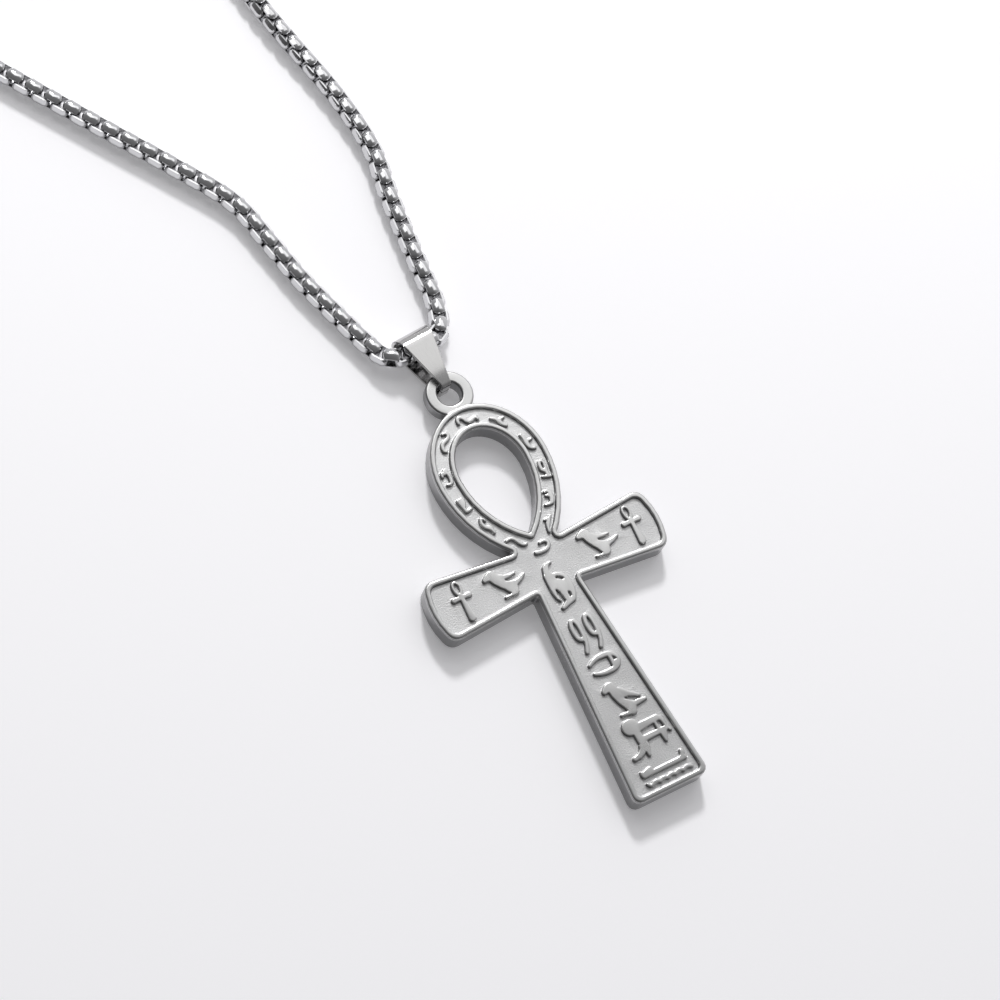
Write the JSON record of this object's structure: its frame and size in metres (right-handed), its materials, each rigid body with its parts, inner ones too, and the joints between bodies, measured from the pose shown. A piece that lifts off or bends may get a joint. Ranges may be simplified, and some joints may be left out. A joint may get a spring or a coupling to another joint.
{
  "type": "ankh pendant necklace",
  "caption": "Ankh pendant with raised hieroglyph-like signs in a rimmed field, on a folded bail and a closed round box chain, lying flat.",
  "frame": {"origin": "on the pendant's flat back, where the shaft meets the undersides of the arms", "axes": "+Y from the foot towards the eye and the bail, +X towards the right arm, +Z out of the face with the signs, up from the surface that the necklace lies on"},
  "size_m": [0.0871, 0.306, 0.004],
  "materials": {
    "cast_steel": "satin cast field with polished rim and sides",
    "polished_steel": "bright polished"
  },
  "bodies": {
    "root": {"ankh": "cast_steel", "bail": "polished_steel", "chain": "polished_steel", "end_ring_a": "polished_steel", "end_ring_b": "polished_steel", "clasp": "polished_steel"}
  },
  "joints": []
}
